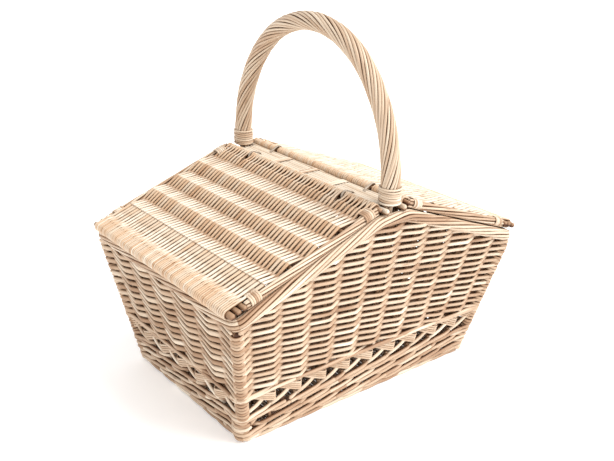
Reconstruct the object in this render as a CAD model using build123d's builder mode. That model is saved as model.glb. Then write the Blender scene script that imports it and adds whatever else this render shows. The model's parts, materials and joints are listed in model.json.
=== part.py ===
from build123d import *
import os
from collections import namedtuple
from math import atan, cos, degrees, sin

# A willow picnic basket with a fixed arched handle and two sloping lids, in millimetres.
# X runs along the long side, Y across, Z up; the origin is the centre of the underside.

# Driving dimensions: the walls flare from the underside to the rim line
base_half_x = 166.0
base_half_y = 108.0
rim_half_x = 200.0
rim_half_y = 144.0
rim_end_z = 163.0
rim_mid_z = 229.0
level_half_x = 20.0
wall = 11.0

# Clearances: between neighbouring parts, round a rod in its channel, beyond the tips of stakes,
# and the extra length of anything that is trimmed afterwards
gap = 0.2
channel_slack = 0.1
tip_gap = 0.5
spare = 5.0

# Heights of the horizontal bands of weaving
base_thickness = 8.0
foot_top = 6.0
foot_rounding = 1.2
wale_top = 42.0
open_top = 62.0
line_top = 67.0
border_below_rim = 11.0
border_above_rim = 3.4
border_outset = 1.0
border_thickness = 13.0
border_socket = 6.0

# Stakes, corner posts and the rods of the open band
spans_long = 10
spans_short = 6
stake_radius = 2.0
post_inset = 6.0
post_radius = 7.0
post_core_radius = 4.0
post_turn = 5.0
groove_depth = 0.8
cross_radius = 1.9
cross_offset = 3.4
ribbon_half_thickness = 1.2
ribbon_half_height = 3.5

# Base sticks
base_corner_radius = 14.0
base_stick_pitch = 28.0
base_stick_reach = 84.0
base_stick_half_length = 150.0

# Handle: an arch of two side arcs and one top arc, in the plane x = 0
handle_leg_y = 132.0
handle_spring_z = 260.0
handle_top_z = 407.0
handle_top_radius = 122.0
handle_radius = 10.5
handle_core_radius = 5.5
handle_wrap_start_z = 241.0
binding_radius = 12.0
binding_top_z = 259.0
binding_turns = 6
binding_groove_width = 0.8
binding_groove_depth = 0.6
leg_end_z = 64.0
leg_top_z = 240.0
leg_wall_clearance = 0.8
leg_splice_offset = 1.0

# Centre bar and the hinge loops tied round it
bar_rod_radius = 3.5
bar_rod_x = 10.9
bar_outer_half_length = 143.0
bar_inner_half_length = 122.0
lashing_width = 8.0
lashing_thickness = 1.2
lashing_y = [-50.0, 0.0, 50.0]
loop_y = 85.0
loop_wire = 3.0
loop_inner_radius = 5.2
loop_rounding = 0.9
loop_bar_end = (12.0, 236.6)
loop_lid_end = (24.5, 239.0)

# Lids
hinge_x = 20.0
hinge_z = 239.3
hinge_rod_radius = 3.5
lid_half_width = 140.5
lid_thickness = 10.0
lid_end_x = 199.5
end_rod_radii = [4.25, 3.5, 3.5]
edge_rod_radius = 2.4
cross_stick_places = (46.5, 80.0, 113.5, 147.0)
cross_stick_radius = 2.2
loop_slot_width = 5.0
loop_slot_reach = 14.5
tie_width = 12.0
tie_depth = 14.0
tie_thickness = 0.8
tie_places = (14.0, 162.0)

# Derived dimensions
rim_slope = (rim_mid_z - rim_end_z) / (rim_half_x - level_half_x)
slope_angle = atan(rim_slope)
flare_x = (rim_half_x - base_half_x) / rim_end_z
flare_y = (rim_half_y - base_half_y) / rim_end_z
post_base_x = base_half_x - post_inset
post_base_y = base_half_y - post_inset
border_bottom_end_z = rim_end_z - border_below_rim
bar_z = rim_mid_z + border_above_rim + bar_rod_radius
lid_length = (lid_end_x - hinge_x) / cos(slope_angle)

# How far the untrimmed slabs of the walls reach, and where a long wall's sections are taken
slab_top = 245.0
slab_half_x = 205.0
long_slab_depth = 160.0
end_slab_depth = 220.0
slab_stations = (-slab_half_x, -140.0, -80.0, -level_half_x, level_half_x, 80.0, 140.0, slab_half_x)


def rim_z(x):
    """Height of the rim line: level beside the handle, then sloping down to the ends."""
    return rim_mid_z - rim_slope * max(abs(x) - level_half_x, 0.0)


def long_face_y(x, z):
    """Distance of a long wall's outer face from the middle plane."""
    return base_half_y + (rim_half_y - base_half_y) * z / rim_z(x)


def end_face_x(z):
    """Distance of an end wall's outer face from the middle plane."""
    return base_half_x + flare_x * z


def post_x(z):
    return post_base_x + flare_x * z


def post_y(z):
    return post_base_y + flare_y * z


def save(built, name):
    built.part.label = name
    export_step(built.part, f"parts/{name}.step")


def unit(start, end):
    return (Vector(*end) - Vector(*start)).normalized()


def add_rod(start, end, radius, mode=Mode.ADD):
    """A straight round rod between two points, in the builder that is open."""
    with BuildSketch(Plane(origin=start, z_dir=unit(start, end))) as section:
        Circle(radius)
    extrude(section.sketch, amount=(Vector(*end) - Vector(*start)).length, mode=mode)


def add_long_slab(side, outer, inner):
    """The flared slab of a long wall, between two offsets inwards from its outer face."""
    sections = []
    for x in slab_stations:
        with BuildSketch(Plane.YZ.offset(x)) as section:
            with BuildLine():
                Polyline(
                    (side * (long_face_y(x, 0) - outer), 0),
                    (side * (long_face_y(x, slab_top) - outer), slab_top),
                    (side * (long_face_y(x, slab_top) - inner), slab_top),
                    (side * (long_face_y(x, 0) - inner), 0),
                    close=True,
                )
            make_face()
        sections.append(section.sketch.face())
    loft(sections, ruled=True)


def add_end_slab(side, outer, inner):
    """The flared slab of an end wall, between two offsets inwards from its outer face."""
    with BuildSketch(Plane.XZ) as section:
        with BuildLine():
            Polyline(
                (side * (end_face_x(0) - outer), 0),
                (side * (end_face_x(slab_top) - outer), slab_top),
                (side * (end_face_x(slab_top) - inner), slab_top),
                (side * (end_face_x(0) - inner), 0),
                close=True,
            )
        make_face()
    extrude(section.sketch, amount=rim_half_y + spare, both=True)


def keep_between(low_z, high_z):
    """Keep only what lies between two heights."""
    with BuildSketch(Plane.XY.offset(low_z)) as layer:
        Rectangle(2 * end_slab_depth, 2 * long_slab_depth)
    extrude(layer.sketch, amount=high_z - low_z, mode=Mode.INTERSECT)


def keep_outline(plane, points, depth):
    """Keep only what lies inside an outline, seen square on to the plane."""
    with BuildSketch(plane) as outline:
        with BuildLine():
            Polyline(*points, close=True)
        make_face()
    extrude(outline.sketch, amount=depth, both=True, mode=Mode.INTERSECT)


def level_band(limit, low, high):
    """Outline of a level band of weaving that ends against the two corner posts."""
    room = post_radius + gap
    low_end = limit(low) - room
    high_end = limit(high) - room
    return [(-low_end, low), (low_end, low), (high_end, high), (-high_end, high)]


def peaked_band(limit, low, drop):
    """Outline of a long wall from a level line up to a line that follows the rim."""
    room = post_radius + gap
    corner_x = limit(rim_end_z - drop) - room
    corner_z = rim_z(corner_x) - drop
    low_end = limit(low) - room
    return [
        (-low_end, low),
        (low_end, low),
        (corner_x, corner_z),
        (level_half_x, rim_mid_z - drop),
        (-level_half_x, rim_mid_z - drop),
        (-corner_x, corner_z),
    ]


# Each wall: how its slab is made, which side it is on, its number of spans, how far its posts
# stand from the middle, the plane that it is seen square on to, and the depth of its outlines
Wall = namedtuple("Wall", "add_slab side spans post_limit plane depth")
walls = {
    "front": Wall(add_long_slab, -1, spans_long, post_x, Plane.XZ, long_slab_depth),
    "back": Wall(add_long_slab, 1, spans_long, post_x, Plane.XZ, long_slab_depth),
    "left": Wall(add_end_slab, -1, spans_short, post_y, Plane.YZ, end_slab_depth),
    "right": Wall(add_end_slab, 1, spans_short, post_y, Plane.YZ, end_slab_depth),
}


def is_long(wall_name):
    return wall_name in ("front", "back")


def wall_point(wall_name, place, z, inset):
    """A point in a wall: place runs from -1 to 1 between the posts, inset goes inwards."""
    side = walls[wall_name].side
    if is_long(wall_name):
        x = place * post_x(z)
        return (x, side * (long_face_y(x, z) - inset), z)
    return (side * (end_face_x(z) - inset), place * post_y(z), z)


def stake_places(spans):
    return [-1 + 2 * i / spans for i in range(1, spans)]


def stake_ends(wall_name, place):
    """Both ends of a stake's straight line, from the underside up to the rim line."""
    low = wall_point(wall_name, place, 0.0, wall / 2)
    side = walls[wall_name].side
    if is_long(wall_name):
        x = place * (rim_half_x - post_inset)
        return low, (x, side * (rim_half_y - wall / 2), rim_z(x))
    y = place * (rim_half_y - post_inset)
    return low, (side * (rim_half_x - wall / 2), y, rim_end_z)


def on_line(start, end, z):
    share = (z - start[2]) / (end[2] - start[2])
    return tuple(a + (b - a) * share for a, b in zip(start, end))


def cut_channels(wall_name):
    """Round channels through a woven panel, one for each stake that stands in it."""
    for place in stake_places(walls[wall_name].spans):
        add_rod(*stake_ends(wall_name, place), stake_radius + channel_slack, Mode.SUBTRACT)


def border_bottom(wall_name, stake_top):
    """Height of a border's underside over a stake."""
    if is_long(wall_name):
        return rim_z(stake_top[0]) - border_below_rim
    return border_bottom_end_z


def build_base():
    with BuildPart() as base_panel:
        with BuildSketch():
            RectangleRounded(
                2 * (base_half_x - wall - gap), 2 * (base_half_y - wall - gap), base_corner_radius
            )
        extrude(amount=base_thickness)
        for y in base_stick_rows():
            add_rod(*base_stick_ends(y), stake_radius + channel_slack, Mode.SUBTRACT)
    save(base_panel, "base_panel")

    with BuildPart() as base_sticks:
        for y in base_stick_rows():
            add_rod(*base_stick_ends(y), stake_radius)
    save(base_sticks, "base_sticks")

    with BuildPart() as foot_border:
        with BuildSketch():
            for side in (-1, 1):
                with Locations((0, side * (base_half_y - wall / 2))):
                    Rectangle(2 * base_half_x, wall)
                with Locations((side * (base_half_x - wall / 2), 0)):
                    Rectangle(wall, 2 * (base_half_y - wall - gap))
        extrude(amount=foot_top)
        fillet(foot_border.faces().sort_by(Axis.Z)[-4:].edges(), foot_rounding)
    save(foot_border, "foot_border")


def base_stick_rows():
    count = int(2 * base_stick_reach / base_stick_pitch) + 1
    return [-base_stick_reach + i * base_stick_pitch for i in range(count)]


def base_stick_ends(y):
    z = base_thickness / 2
    return (-base_stick_half_length, y, z), (base_stick_half_length, y, z)


def build_lower_siding(name):
    face = walls[name]
    with BuildPart() as lower_siding:
        face.add_slab(face.side, 0, wall)
        keep_outline(face.plane, level_band(face.post_limit, foot_top, wale_top), face.depth)
        cut_channels(name)
    save(lower_siding, f"{name}_lower_siding")


def build_upper_siding(name):
    face = walls[name]
    with BuildPart() as upper_siding:
        face.add_slab(face.side, 0, wall)
        if is_long(name):
            outline = peaked_band(face.post_limit, line_top, border_below_rim)
        else:
            outline = level_band(face.post_limit, line_top, border_bottom_end_z)
        keep_outline(face.plane, outline, face.depth)
        cut_channels(name)
        if is_long(name):
            add_rod(*leg_line(face.side), handle_core_radius + channel_slack, Mode.SUBTRACT)
    save(upper_siding, f"{name}_siding")


def build_stakes(name):
    """Stakes of one wall: a lower length in the wale and an upper length in the siding."""
    with BuildPart() as stakes:
        for place in stake_places(walls[name].spans):
            start, end = stake_ends(name, place)
            low_tip = on_line(start, end, foot_top + tip_gap)
            low_end = on_line(start, end, wale_top - tip_gap)
            high_end = on_line(start, end, open_top + tip_gap)
            high_tip = on_line(start, end, border_bottom(name, end) + border_socket - tip_gap)
            add_rod(low_tip, low_end, stake_radius)
            add_rod(high_end, high_tip, stake_radius)
    save(stakes, f"{name}_stakes")


def build_crossed_rods(name):
    """Two layers of slanting rods that cross in the open band, one leaning each way."""
    face = walls[name]
    lean = 2 / face.spans
    with BuildPart() as crossed_rods:
        for i in range(face.spans):
            left = -1 + i * lean
            right = left + lean
            for layer, foot, head in ((-cross_offset, left, right), (cross_offset, right, left)):
                inset = wall / 2 + layer
                overrun = (head - foot) / 4
                low = wall_point(name, foot - overrun, wale_top - spare, inset)
                high = wall_point(name, head + overrun, open_top + spare, inset)
                add_rod(low, high, cross_radius)
        keep_outline(face.plane, level_band(face.post_limit, wale_top, open_top), face.depth)
    save(crossed_rods, f"{name}_crossed_rods")


def build_ribbon(name):
    """The flat ribbon that runs level through the open band, between the crossed rods."""
    face = walls[name]
    middle = (wale_top + open_top) / 2
    with BuildPart() as ribbon:
        face.add_slab(face.side, wall / 2 - ribbon_half_thickness, wall / 2 + ribbon_half_thickness)
        outline = level_band(face.post_limit, middle - ribbon_half_height, middle + ribbon_half_height)
        keep_outline(face.plane, outline, face.depth)
    save(ribbon, f"{name}_ribbon")


def build_wale_line():
    """One line of waling above the open band, in four lengths between the posts."""
    with BuildPart() as wale_line:
        for name in walls:
            add(wale_line_length(name))
    save(wale_line, "wale_line")


def wale_line_length(name):
    face = walls[name]
    with BuildPart() as length:
        face.add_slab(face.side, 0, wall)
        keep_outline(face.plane, level_band(face.post_limit, open_top, line_top), face.depth)
        cut_channels(name)
    return length.part


def cut_border_sockets(name):
    """Blind sockets in the underside of a border, one over each stake."""
    for place in stake_places(walls[name].spans):
        start, end = stake_ends(name, place)
        bottom = border_bottom(name, end)
        low = on_line(start, end, bottom - spare)
        high = on_line(start, end, bottom + border_socket)
        add_rod(low, high, stake_radius + channel_slack, Mode.SUBTRACT)


def build_long_border(name):
    face = walls[name]
    low_x = end_face_x(border_bottom_end_z) + border_outset
    high_x = end_face_x(rim_end_z + border_above_rim) + border_outset
    drop = border_below_rim
    lift = border_above_rim
    with BuildPart() as border:
        face.add_slab(face.side, -border_outset, border_thickness - border_outset)
        outline = [
            (-low_x, rim_z(low_x) - drop),
            (-level_half_x, rim_mid_z - drop),
            (level_half_x, rim_mid_z - drop),
            (low_x, rim_z(low_x) - drop),
            (high_x, rim_z(high_x) + lift),
            (level_half_x, rim_mid_z + lift),
            (-level_half_x, rim_mid_z + lift),
            (-high_x, rim_z(high_x) + lift),
        ]
        keep_outline(face.plane, outline, face.depth)
        cut_border_sockets(name)
        add_rod(*leg_line(face.side), handle_core_radius + channel_slack, Mode.SUBTRACT)
    save(border, f"{name}_border")


def build_end_border(name):
    face = walls[name]
    low = border_bottom_end_z
    high = rim_end_z + border_above_rim
    inner = border_thickness - border_outset + gap

    def half_y(z):
        return long_face_y(end_face_x(z) - wall, z) - inner

    with BuildPart() as border:
        face.add_slab(face.side, -border_outset, border_thickness - border_outset)
        outline = [(-half_y(low), low), (half_y(low), low), (half_y(high), high), (-half_y(high), high)]
        keep_outline(face.plane, outline, face.depth)
        cut_border_sockets(name)
    save(border, f"{name}_border")


def post_line(side_x, side_y, low_z, high_z):
    """Two points on the axis of a corner post."""
    low = (side_x * post_x(low_z), side_y * post_y(low_z), low_z)
    high = (side_x * post_x(high_z), side_y * post_y(high_z), high_z)
    return low, high


def build_corner(name, side_x, side_y):
    """The sleeve of stacked willow turns round a corner stake."""
    low, high = post_line(side_x, side_y, 0.0, border_bottom_end_z + spare)
    axis = Plane(origin=low, z_dir=unit(low, high))
    length = (Vector(*high) - Vector(*low)).length
    turns = int(length / post_turn)
    with BuildPart() as sleeve:
        add_rod(low, high, post_radius)
        with BuildSketch(axis):
            Circle(post_core_radius + channel_slack)
        extrude(amount=length, mode=Mode.SUBTRACT)
        for i in range(1, turns):
            with BuildSketch(axis.offset(i * length / turns - groove_depth / 2)):
                Circle(post_radius + spare)
                Circle(post_radius - groove_depth, mode=Mode.SUBTRACT)
            extrude(amount=groove_depth, mode=Mode.SUBTRACT)
        keep_between(foot_top + gap, border_bottom_end_z - gap)
    save(sleeve, f"{name}_corner_wrap")


def build_corner_stakes():
    with BuildPart() as corner_stakes:
        for side_x in (-1, 1):
            for side_y in (-1, 1):
                add_rod(*post_line(side_x, side_y, 0.0, border_bottom_end_z + spare), post_core_radius)
        keep_between(foot_top + gap, border_bottom_end_z - tip_gap)
    save(corner_stakes, "corner_stakes")


def leg_line(side):
    """A handle leg's straight line, from inside the wall's face up to the foot of the arch."""
    low_y = long_face_y(0, leg_end_z) - wall - leg_wall_clearance - handle_core_radius
    high_y = handle_leg_y - leg_splice_offset
    return (0, side * low_y, leg_end_z), (0, side * high_y, handle_wrap_start_z)


def arch_radii():
    """Side radius of the arch, so that its side arcs meet the top arc tangentially."""
    rise = handle_top_z - handle_spring_z
    top = handle_top_radius
    side = ((rise - top) ** 2 + handle_leg_y**2 - top**2) / (2 * (handle_leg_y - top))
    return side, top


def arch_points():
    """Where each side arc meets the top arc, and a middle point of the side arc."""
    side, top = arch_radii()
    side_centre = Vector(handle_leg_y - side, handle_spring_z)
    top_centre = Vector(0, handle_top_z - top)
    towards = (top_centre - side_centre).normalized()
    meet = top_centre + towards * top
    half_turn = atan(towards.Y / towards.X) / 2
    middle = side_centre + Vector(cos(half_turn), sin(half_turn)) * side
    return meet, middle


def add_arch_path(low_z):
    """The handle's centreline in the plane x = 0, between the same height on both legs."""
    meet, middle = arch_points()
    Line((-handle_leg_y, low_z), (-handle_leg_y, handle_spring_z))
    ThreePointArc((-handle_leg_y, handle_spring_z), (-middle.X, middle.Y), (-meet.X, meet.Y))
    ThreePointArc((-meet.X, meet.Y), (0, handle_top_z), (meet.X, meet.Y))
    ThreePointArc((meet.X, meet.Y), (middle.X, middle.Y), (handle_leg_y, handle_spring_z))
    Line((handle_leg_y, handle_spring_z), (handle_leg_y, low_z))


def build_handle():
    start = Plane(origin=(0, -handle_leg_y, handle_wrap_start_z), z_dir=(0, 0, 1))
    with BuildPart() as handle_strands:
        with BuildLine(Plane.YZ) as path:
            add_arch_path(handle_wrap_start_z)
        with BuildSketch(start):
            Circle(handle_radius)
            Circle(handle_core_radius + channel_slack, mode=Mode.SUBTRACT)
        sweep(path=path.wire())
    save(handle_strands, "handle_strands")

    with BuildPart() as handle_core:
        with BuildLine(Plane.YZ) as core_path:
            add_arch_path(handle_wrap_start_z)
        with BuildSketch(start):
            Circle(handle_core_radius)
        sweep(path=core_path.wire())
    save(handle_core, "handle_core")

    with BuildPart() as handle_legs:
        for side in (-1, 1):
            low, high = leg_line(side)
            add_rod(low, high, handle_core_radius)
        keep_between(leg_end_z, leg_top_z)
    save(handle_legs, "handle_legs")


def build_binding(name, side):
    """The band of thin turns round the foot of the handle."""
    height = binding_top_z - handle_wrap_start_z
    turn = height / binding_turns
    with BuildPart() as binding:
        with BuildSketch(Plane.XY.offset(handle_wrap_start_z)):
            with Locations((0, side * handle_leg_y)):
                Circle(binding_radius)
                Circle(handle_radius + channel_slack, mode=Mode.SUBTRACT)
        extrude(amount=height)
        for i in range(1, binding_turns):
            groove_z = handle_wrap_start_z + i * turn - binding_groove_width / 2
            with BuildSketch(Plane.XY.offset(groove_z)):
                with Locations((0, side * handle_leg_y)):
                    Circle(binding_radius + spare)
                    Circle(binding_radius - binding_groove_depth, mode=Mode.SUBTRACT)
            extrude(amount=binding_groove_width, mode=Mode.SUBTRACT)
    save(binding, f"{name}_handle_binding")


def build_centre_bar():
    with BuildPart() as centre_bar:
        for x, half in ((-bar_rod_x, bar_outer_half_length), (0, bar_inner_half_length),
                        (bar_rod_x, bar_outer_half_length)):
            add_rod((x, -half, bar_z), (x, half, bar_z), bar_rod_radius)
    save(centre_bar, "centre_bar")

    inner_height = 2 * (bar_rod_radius + gap)
    with BuildPart() as lashings:
        for y in lashing_y:
            with BuildSketch(Plane.XZ.offset(-y)):
                with Locations((0, bar_z)):
                    SlotCenterToCenter(2 * bar_rod_x, inner_height + 2 * lashing_thickness)
                    SlotCenterToCenter(2 * bar_rod_x, inner_height, mode=Mode.SUBTRACT)
            extrude(amount=lashing_width / 2, both=True)
    save(lashings, "centre_bar_lashings")


def build_hinge_loop(name, side_x, side_y):
    """A loose cane loop round the bar's outer rod and the lid's hinge rod."""
    bar_end = Vector(side_x * loop_bar_end[0], loop_bar_end[1])
    lid_end = Vector(side_x * loop_lid_end[0], loop_lid_end[1])
    middle = (bar_end + lid_end) / 2
    reach = (lid_end - bar_end).length
    tilt = side_x * degrees(atan((lid_end.Y - bar_end.Y) / abs(lid_end.X - bar_end.X)))
    with BuildPart() as loop:
        with BuildSketch(Plane.XZ.offset(-side_y * loop_y)):
            with Locations(Location((middle.X, middle.Y), tilt)):
                SlotCenterToCenter(reach, 2 * (loop_inner_radius + loop_wire))
                SlotCenterToCenter(reach, 2 * loop_inner_radius, mode=Mode.SUBTRACT)
        extrude(amount=loop_wire / 2, both=True)
        fillet(loop.edges(), loop_rounding)
    save(loop, f"{name}_hinge_loop")


def lid_plane(side):
    """Frame of a lid: origin on its hinge axis, local x down the slope, local z out of its top."""
    down = (side * cos(slope_angle), 0, -sin(slope_angle))
    top = (side * sin(slope_angle), 0, cos(slope_angle))
    return Plane(origin=(side * hinge_x, 0, hinge_z), x_dir=down, z_dir=top)


def end_rod_places():
    """Each end rod's distance from the hinge axis, counted from the free edge."""
    places = [lid_length]
    for outer, inner in zip(end_rod_radii, end_rod_radii[1:]):
        places.append(places[-1] - outer - inner - channel_slack)
    return places


def lid_rod(frame, along, half, radius, mode=Mode.ADD):
    """A rod across the lid, parallel to its hinge axis."""
    start = frame.from_local_coords((along, -half, 0))
    end = frame.from_local_coords((along, half, 0))
    add_rod(tuple(start), tuple(end), radius, mode)


def build_lid(name, side):
    frame = lid_plane(side)
    panel_half = lid_half_width - 2 * edge_rod_radius - gap
    panel_start = hinge_rod_radius + gap
    panel_end = end_rod_places()[-1] - end_rod_radii[-1] - gap
    middle = (panel_start + panel_end) / 2

    with BuildPart() as panel:
        with BuildSketch(frame.offset(-lid_thickness / 2)):
            with Locations((middle, 0)):
                Rectangle(panel_end - panel_start, 2 * panel_half)
            for y in (-loop_y, loop_y):
                with Locations((0, y)):
                    Rectangle(2 * loop_slot_reach, loop_slot_width, mode=Mode.SUBTRACT)
            for along in tie_places:
                for y in (-1, 1):
                    with Locations((along, y * (lid_half_width - tie_depth + tie_thickness / 2))):
                        Rectangle(tie_width + gap, tie_thickness + gap, mode=Mode.SUBTRACT)
        extrude(amount=lid_thickness)
        for along in cross_stick_places:
            lid_rod(frame, along, panel_half + spare, cross_stick_radius + channel_slack, Mode.SUBTRACT)
    save(panel, f"{name}_lid_panel")

    with BuildPart() as sticks:
        for along in cross_stick_places:
            lid_rod(frame, along, panel_half, cross_stick_radius)
    save(sticks, f"{name}_lid_cross_sticks")

    with BuildPart() as end_rods:
        for along, radius in zip(end_rod_places(), end_rod_radii):
            lid_rod(frame, along, lid_half_width, radius)
    save(end_rods, f"{name}_lid_end_rods")

    with BuildPart() as hinge_rod:
        lid_rod(frame, 0, lid_half_width, hinge_rod_radius)
    save(hinge_rod, f"{name}_lid_hinge_rod")

    with BuildPart() as edge_rods:
        for y in (-1, 1):
            for z in (-1, 1):
                place = y * (lid_half_width - edge_rod_radius)
                height = z * (edge_rod_radius + channel_slack / 2)
                start = frame.from_local_coords((panel_start, place, height))
                end = frame.from_local_coords((panel_end, place, height))
                add_rod(tuple(start), tuple(end), edge_rod_radius)
    save(edge_rods, f"{name}_lid_edge_rods")

    with BuildPart() as ties:
        for along in tie_places:
            for y in (-1, 1):
                add_tie(frame, along, y)
    save(ties, f"{name}_lid_ties")


def add_tie(frame, along, side):
    """A flat binding round the lid's edge rods and through the weave beside them."""
    inner_y = lid_half_width - tie_depth
    outer_y = lid_half_width + tie_thickness + gap
    centre = frame.from_local_coords((along, side * (inner_y + outer_y) / 2, 0))
    section_plane = Plane(origin=centre, x_dir=(0, 1, 0), z_dir=frame.x_dir)
    height = lid_thickness + 2 * (tie_thickness + gap / 2)
    with BuildSketch(section_plane) as band:
        Rectangle(outer_y - inner_y, height)
        Rectangle(outer_y - inner_y - 2 * tie_thickness, height - 2 * tie_thickness, mode=Mode.SUBTRACT)
    extrude(band.sketch, amount=tie_width / 2, both=True)


os.makedirs("parts", exist_ok=True)
build_base()
for wall_name in walls:
    build_lower_siding(wall_name)
    build_upper_siding(wall_name)
    build_stakes(wall_name)
    build_crossed_rods(wall_name)
    build_ribbon(wall_name)
    if is_long(wall_name):
        build_long_border(wall_name)
    else:
        build_end_border(wall_name)
build_wale_line()
for corner, x_side, y_side in (
    ("front_left", -1, -1),
    ("front_right", 1, -1),
    ("back_left", -1, 1),
    ("back_right", 1, 1),
):
    build_corner(corner, x_side, y_side)
    build_hinge_loop(corner, x_side, y_side)
build_corner_stakes()
build_handle()
build_binding("front", -1)
build_binding("back", 1)
build_centre_bar()
build_lid("left", -1)
build_lid("right", 1)
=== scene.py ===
import json
import math

import bpy
import numpy as np
from mathutils import Matrix, Vector


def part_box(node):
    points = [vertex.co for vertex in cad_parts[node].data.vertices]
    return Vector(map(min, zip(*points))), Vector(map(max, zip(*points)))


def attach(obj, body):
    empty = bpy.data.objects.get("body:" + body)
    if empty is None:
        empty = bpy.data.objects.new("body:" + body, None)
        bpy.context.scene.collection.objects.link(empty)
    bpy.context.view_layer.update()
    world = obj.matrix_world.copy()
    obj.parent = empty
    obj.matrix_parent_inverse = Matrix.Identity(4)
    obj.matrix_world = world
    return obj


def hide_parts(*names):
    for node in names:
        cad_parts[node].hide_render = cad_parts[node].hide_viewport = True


# A two-lid willow basket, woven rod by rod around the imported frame. Lengths are in metres.
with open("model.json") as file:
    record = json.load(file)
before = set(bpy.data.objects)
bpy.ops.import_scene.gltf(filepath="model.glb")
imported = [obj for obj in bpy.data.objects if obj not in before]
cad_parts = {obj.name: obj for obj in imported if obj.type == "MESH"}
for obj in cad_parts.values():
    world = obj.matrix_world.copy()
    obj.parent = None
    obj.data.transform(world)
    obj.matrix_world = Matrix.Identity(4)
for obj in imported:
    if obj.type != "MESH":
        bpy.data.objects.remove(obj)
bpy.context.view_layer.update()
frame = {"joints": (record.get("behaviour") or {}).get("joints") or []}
rng = np.random.default_rng(11)
MM = 0.001
UP = np.array([0.0, 0.0, 1.0])
ALONG_X = np.array([1.0, 0.0, 0.0])
ALONG_Y = np.array([0.0, 1.0, 0.0])

# ---- sizes read from the frame
BASE_X, BASE_Y, FOOT_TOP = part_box("foot_border")[1]
WALE_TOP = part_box("front_lower_siding")[1].z
OPEN_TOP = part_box("wale_line")[0].z
LINE_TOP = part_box("wale_line")[1].z
SIDING_MID_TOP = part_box("front_siding")[1].z
SIDING_END_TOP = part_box("left_siding")[1].z
BORDER_END_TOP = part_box("left_border")[1].z
BORDER_MID_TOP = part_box("front_border")[1].z
BORDER_HEIGHT = BORDER_MID_TOP - SIDING_MID_TOP

# The rim line, a little under the border's top, and how the walls flare up to it
RIM_UNDER_TOP = 3.4 * MM
LEVEL_X = 20 * MM
RIM_MID = BORDER_MID_TOP - RIM_UNDER_TOP
RIM_END = BORDER_END_TOP - RIM_UNDER_TOP
FLARE_X = (-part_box("left_siding")[0].x - BASE_X) / SIDING_END_TOP
RIM_X = BASE_X + FLARE_X * RIM_END
RIM_Y = BASE_Y + (-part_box("front_siding")[0].y - BASE_Y) * RIM_MID / SIDING_MID_TOP
RIM_SLOPE = (RIM_MID - RIM_END) / (RIM_X - LEVEL_X)
WALL = BASE_X + FLARE_X * FOOT_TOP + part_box("left_lower_siding")[1].x
POST_INSET = 6 * MM
POST_RADIUS = 7 * MM
BORDER_OUTSET = 1 * MM
BORDER_THICKNESS = 13 * MM

# Weaving: spans between stakes, rows, half thicknesses of rods, and how far they swing in and out
SPANS = {"front": 10, "back": 10, "left": 6, "right": 6}
ROW_PITCH = 3.95 * MM
WEAVER = 2.12 * MM
WEAVE_SWING = 5.1 * MM
STAKE = 2.0 * MM
LEANING_ROD = 2.3 * MM
LEANING_PAIR_ROD = 1.5 * MM
UPRIGHT_ROD = 1.7 * MM
RIBBON_ROD = 1.42 * MM
WALE_ROWS = 3
WALE_ROD = 2.35 * MM
WALE_SWING = 3.9 * MM
LINE_ROD = 2.3 * MM
LINE_SWING = 4.2 * MM
LINE_RISE = 3.9 * MM


def rim_z(x):
    """Height of the rim line over a place on the long side."""
    return RIM_MID - RIM_SLOPE * np.maximum(np.abs(x) - LEVEL_X, 0.0)


def post_x(z):
    return BASE_X - POST_INSET + FLARE_X * z


def post_y(z):
    return BASE_Y - POST_INSET + (RIM_Y - BASE_Y) / RIM_END * z


def unit(vectors):
    return vectors / np.linalg.norm(vectors, axis=-1, keepdims=True)


def smoothstep(t):
    t = np.clip(t, 0.0, 1.0)
    return t * t * (3 - 2 * t)


def stacked(*parts):
    """Points from their coordinates, where a single number does for all of them."""
    return np.stack(np.broadcast_arrays(*parts), axis=-1)


def turned(angle, first, second):
    """Directions at angles from the first axis towards the second."""
    return np.cos(angle)[:, None] * first + np.sin(angle)[:, None] * second


def add_object(name, data):
    made = bpy.data.objects.new(name, data)
    bpy.context.scene.collection.objects.link(made)
    return made


class Wall:
    """The middle surface of one wall: s runs from -1 to 1 between the corner posts."""

    def __init__(self, name):
        self.name = name
        self.long = name in ("front", "back")
        self.side = -1 if name in ("front", "left") else 1
        self.spans = SPANS[name]
        # +1 where s grows to the right, as seen from outside the basket
        self.hand = 1 if name in ("front", "right") else -1

    def middle(self, s, z):
        if self.long:
            x = s * post_x(z)
            y = BASE_Y + (RIM_Y - BASE_Y) * z / rim_z(x) - WALL / 2
            return stacked(x, self.side * y, z)
        x = BASE_X + FLARE_X * z - WALL / 2
        return stacked(self.side * x, s * post_y(z), z)

    def normal(self, s, z):
        if self.long:
            x = s * post_x(z)
            height = rim_z(x)
            lean = (RIM_Y - BASE_Y) / height
            turn = lean * z / height * RIM_SLOPE * np.sign(x) * (np.abs(x) > LEVEL_X)
            return unit(stacked(-turn, self.side, -lean))
        return unit(stacked(self.side, 0 * s, -FLARE_X))

    def at(self, s, z, out):
        s, z = np.broadcast_arrays(np.asarray(s, float), np.asarray(z, float))
        normal = self.normal(s, z)
        return self.middle(s, z) + normal * np.broadcast_to(out, s.shape)[..., None], normal

    def place(self, k):
        """Place along the wall of stake k, counted from the left post as seen from outside."""
        return self.hand * (2 * k / self.spans - 1)


WALLS = {name: Wall(name) for name in ("front", "back", "left", "right")}


# ---- strands and meshes
TIP_WIDTHS = np.array([0.35, 0.8])
TIP_REACHES = np.array([0.55, 0.3])


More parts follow.
